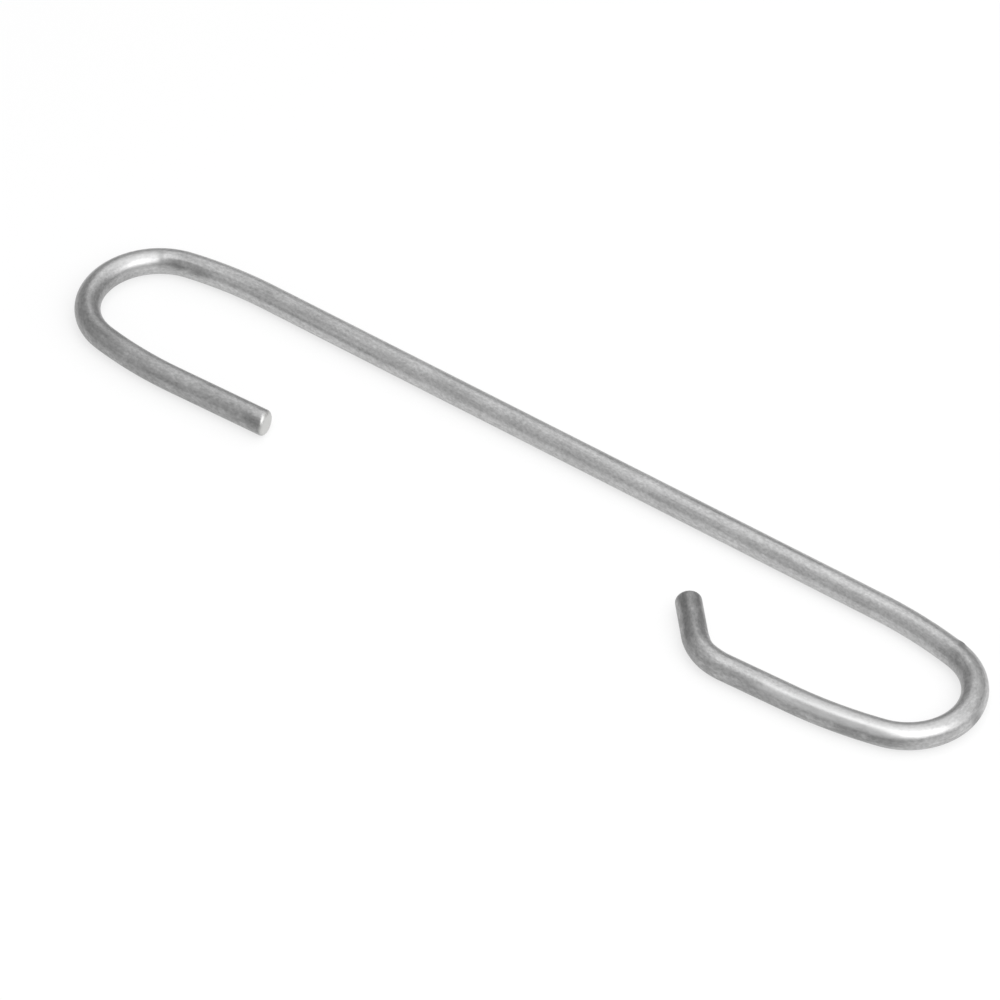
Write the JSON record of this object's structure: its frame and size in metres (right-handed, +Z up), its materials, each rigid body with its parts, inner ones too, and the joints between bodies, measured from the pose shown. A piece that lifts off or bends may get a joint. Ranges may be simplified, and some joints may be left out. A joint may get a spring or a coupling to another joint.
{
  "type": "cistern link hook",
  "caption": "Long flat C of bent zinc-coated wire: a straight shank with an open loop at each end, a plain leg and a kicked-in tip, to link a cistern's flushing lever to its siphon.",
  "frame": {"origin": "middle of the hook's box, on the surface that it lies on", "axes": "+X along the shank towards the kicked end, +Y from the legs towards the shank, +Z up from the surface, through the wire's thickness"},
  "size_m": [0.1016, 0.0174, 0.0025],
  "materials": {
    "zinc_wire": "drawn steel wire with a thin satin zinc coat, neutral grey, faint drawing lines along the wire"
  },
  "bodies": {
    "root": {"hook_wire": "zinc_wire"}
  },
  "joints": []
}
